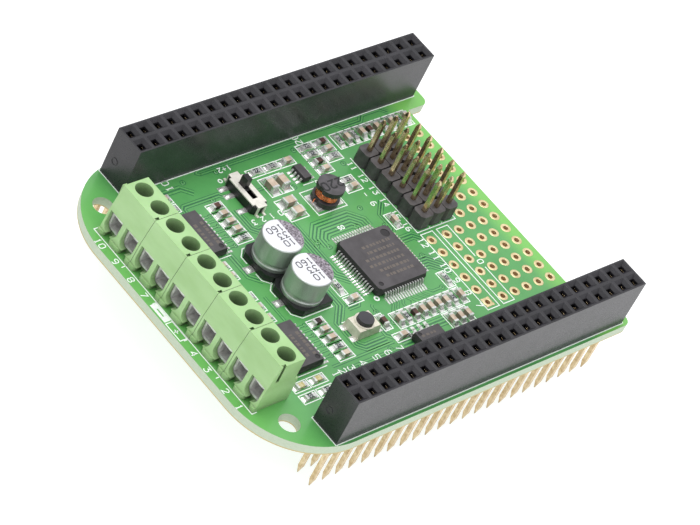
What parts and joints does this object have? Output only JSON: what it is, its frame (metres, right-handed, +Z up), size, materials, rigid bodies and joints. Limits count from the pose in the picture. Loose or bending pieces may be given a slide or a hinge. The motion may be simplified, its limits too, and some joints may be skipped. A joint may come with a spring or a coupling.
{
  "type": "servo driver board",
  "caption": "Stacking circuit board with screw terminals for motors, a servo pin header, driver chips, a slide switch and a push button.",
  "frame": {"origin": "midway between the two mounting holes, on the underside of the board", "axes": "+X along the two sockets, away from the terminal block; +Y from the front socket to the rear socket; +Z up, out of the component side"},
  "size_m": [0.0694, 0.0546, 0.0193],
  "materials": {
    "board": "green solder mask over woven glass board",
    "socket_plastic": "moulded, satin",
    "contact_gold": "thin gold flash",
    "header_plastic": "moulded, satin",
    "terminal_plastic": "moulded, satin",
    "tinned_copper": "bright tin",
    "screw_steel": "zinc plated",
    "clamp_steel": "nickel plated",
    "package_epoxy": "moulded epoxy, fine grain",
    "can_aluminium": "coated can, satin",
    "base_plastic": "moulded",
    "ferrite": "sintered",
    "copper_wire": "enamelled copper",
    "switch_plastic": "moulded",
    "switch_sheet": "bright nickel",
    "button_sheet": "satin nickel",
    "button_plastic": "moulded",
    "dome_steel": "spring steel",
    "resistor_body": "glazed top on white ceramic",
    "ceramic_body": "fired ceramic",
    "bead_body": "fired ferrite",
    "led_body": "clear moulding over a pale base"
  },
  "bodies": {
    "board": {"circuit_board": "board", "front_socket_housing": "socket_plastic", "rear_socket_housing": "socket_plastic", "front_socket_contacts": "contact_gold", "rear_socket_contacts": "contact_gold", "servo_header_housing": "header_plastic", "servo_header_pins": "contact_gold", "terminal_housings": "terminal_plastic", "terminal_contacts": "tinned_copper", "controller_package": "package_epoxy", "controller_leads": "tinned_copper", "motor_driver_packages": "package_epoxy", "motor_driver_leads": "tinned_copper", "regulator_package": "package_epoxy", "regulator_leads": "tinned_copper", "memory_package": "package_epoxy", "memory_leads": "tinned_copper", "capacitor_cans": "can_aluminium", "capacitor_bases": "base_plastic", "capacitor_leads": "tinned_copper", "inductor_core": "ferrite", "inductor_winding": "copper_wire", "inductor_terminals": "tinned_copper", "switch_case": "switch_plastic", "switch_cover": "switch_sheet", "switch_leads": "tinned_copper", "button_base": "button_plastic", "button_cover": "button_sheet", "button_dome": "dome_steel", "button_leads": "tinned_copper", "chip_resistors": "resistor_body", "chip_capacitors": "ceramic_body", "chip_beads": "bead_body", "chip_ends": "tinned_copper", "status_leds": "led_body"},
    "screw_1": {"terminal_screw_1": "screw_steel"},
    "clamp_1": {"terminal_clamp_1": "clamp_steel"},
    "screw_2": {"terminal_screw_2": "screw_steel"},
    "clamp_2": {"terminal_clamp_2": "clamp_steel"},
    "screw_3": {"terminal_screw_3": "screw_steel"},
    "clamp_3": {"terminal_clamp_3": "clamp_steel"},
    "screw_4": {"terminal_screw_4": "screw_steel"},
    "clamp_4": {"terminal_clamp_4": "clamp_steel"},
    "screw_5": {"terminal_screw_5": "screw_steel"},
    "clamp_5": {"terminal_clamp_5": "clamp_steel"},
    "screw_6": {"terminal_screw_6": "screw_steel"},
    "clamp_6": {"terminal_clamp_6": "clamp_steel"},
    "screw_7": {"terminal_screw_7": "screw_steel"},
    "clamp_7": {"terminal_clamp_7": "clamp_steel"},
    "screw_8": {"terminal_screw_8": "screw_steel"},
    "clamp_8": {"terminal_clamp_8": "clamp_steel"},
    "screw_9": {"terminal_screw_9": "screw_steel"},
    "clamp_9": {"terminal_clamp_9": "clamp_steel"},
    "screw_10": {"terminal_screw_10": "screw_steel"},
    "clamp_10": {"terminal_clamp_10": "clamp_steel"},
    "switch_knob": {"switch_slider": "switch_plastic", "switch_wiper": "contact_gold"},
    "button_cap": {"button_plunger": "button_plastic"}
  },
  "joints": [
    {"name": "screw_1_turn", "type": "hinge", "parent": "board", "child": "screw_1", "pos_m": [-0.00028, -0.01575, 0.0076], "axis": [0, 0, 1], "range_deg": [-1081, 0]},
    {"name": "clamp_1_lift", "type": "slide", "parent": "board", "child": "clamp_1", "axis": [0, 0, 1], "range_m": [0, 0.0012]},
    {"name": "screw_2_turn", "type": "hinge", "parent": "board", "child": "screw_2", "pos_m": [-0.00028, -0.01225, 0.0076], "axis": [0, 0, 1], "range_deg": [-1081, 0]},
    {"name": "clamp_2_lift", "type": "slide", "parent": "board", "child": "clamp_2", "axis": [0, 0, 1], "range_m": [0, 0.0012]},
    {"name": "screw_3_turn", "type": "hinge", "parent": "board", "child": "screw_3", "pos_m": [-0.00028, -0.00875, 0.0076], "axis": [0, 0, 1], "range_deg": [-1081, 0]},
    {"name": "clamp_3_lift", "type": "slide", "parent": "board", "child": "clamp_3", "axis": [0, 0, 1], "range_m": [0, 0.0012]},
    {"name": "screw_4_turn", "type": "hinge", "parent": "board", "child": "screw_4", "pos_m": [-0.00028, -0.00525, 0.0076], "axis": [0, 0, 1], "range_deg": [-1081, 0]},
    {"name": "clamp_4_lift", "type": "slide", "parent": "board", "child": "clamp_4", "axis": [0, 0, 1], "range_m": [0, 0.0012]},
    {"name": "screw_5_turn", "type": "hinge", "parent": "board", "child": "screw_5", "pos_m": [-0.00028, -0.00175, 0.0076], "axis": [0, 0, 1], "range_deg": [-1081, 0]},
    {"name": "clamp_5_lift", "type": "slide", "parent": "board", "child": "clamp_5", "axis": [0, 0, 1], "range_m": [0, 0.0012]},
    {"name": "screw_6_turn", "type": "hinge", "parent": "board", "child": "screw_6", "pos_m": [-0.00028, 0.00175, 0.0076], "axis": [0, 0, 1], "range_deg": [-1081, 0]},
    {"name": "clamp_6_lift", "type": "slide", "parent": "board", "child": "clamp_6", "axis": [0, 0, 1], "range_m": [0, 0.0012]},
    {"name": "screw_7_turn", "type": "hinge", "parent": "board", "child": "screw_7", "pos_m": [-0.00028, 0.00525, 0.0076], "axis": [0, 0, 1], "range_deg": [-1081, 0]},
    {"name": "clamp_7_lift", "type": "slide", "parent": "board", "child": "clamp_7", "axis": [0, 0, 1], "range_m": [0, 0.0012]},
    {"name": "screw_8_turn", "type": "hinge", "parent": "board", "child": "screw_8", "pos_m": [-0.00028, 0.00875, 0.0076], "axis": [0, 0, 1], "range_deg": [-1081, 0]},
    {"name": "clamp_8_lift", "type": "slide", "parent": "board", "child": "clamp_8", "axis": [0, 0, 1], "range_m": [0, 0.0012]},
    {"name": "screw_9_turn", "type": "hinge", "parent": "board", "child": "screw_9", "pos_m": [-0.00028, 0.01225, 0.0076], "axis": [0, 0, 1], "range_deg": [-1081, 0]},
    {"name": "clamp_9_lift", "type": "slide", "parent": "board", "child": "clamp_9", "axis": [0, 0, 1], "range_m": [0, 0.0012]},
    {"name": "screw_10_turn", "type": "hinge", "parent": "board", "child": "screw_10", "pos_m": [-0.00028, 0.01575, 0.0076], "axis": [0, 0, 1], "range_deg": [-1081, 0]},
    {"name": "clamp_10_lift", "type": "slide", "parent": "board", "child": "clamp_10", "axis": [0, 0, 1], "range_m": [0, 0.0012]},
    {"name": "switch_slide", "type": "slide", "parent": "board", "child": "switch_knob", "axis": [0, -1, 0], "range_m": [0, 0.002]},
    {"name": "button_press", "type": "slide", "parent": "board", "child": "button_cap", "axis": [0, 0, -1], "range_m": [0, 0.00025]}
  ],
  "couplings": [
    {"joint": "screw_1_turn", "follows": "clamp_1_lift", "rad_per_m": -15708},
    {"joint": "screw_2_turn", "follows": "clamp_2_lift", "rad_per_m": -15708},
    {"joint": "screw_3_turn", "follows": "clamp_3_lift", "rad_per_m": -15708},
    {"joint": "screw_4_turn", "follows": "clamp_4_lift", "rad_per_m": -15708},
    {"joint": "screw_5_turn", "follows": "clamp_5_lift", "rad_per_m": -15708},
    {"joint": "screw_6_turn", "follows": "clamp_6_lift", "rad_per_m": -15708},
    {"joint": "screw_7_turn", "follows": "clamp_7_lift", "rad_per_m": -15708},
    {"joint": "screw_8_turn", "follows": "clamp_8_lift", "rad_per_m": -15708},
    {"joint": "screw_9_turn", "follows": "clamp_9_lift", "rad_per_m": -15708},
    {"joint": "screw_10_turn", "follows": "clamp_10_lift", "rad_per_m": -15708}
  ]
}
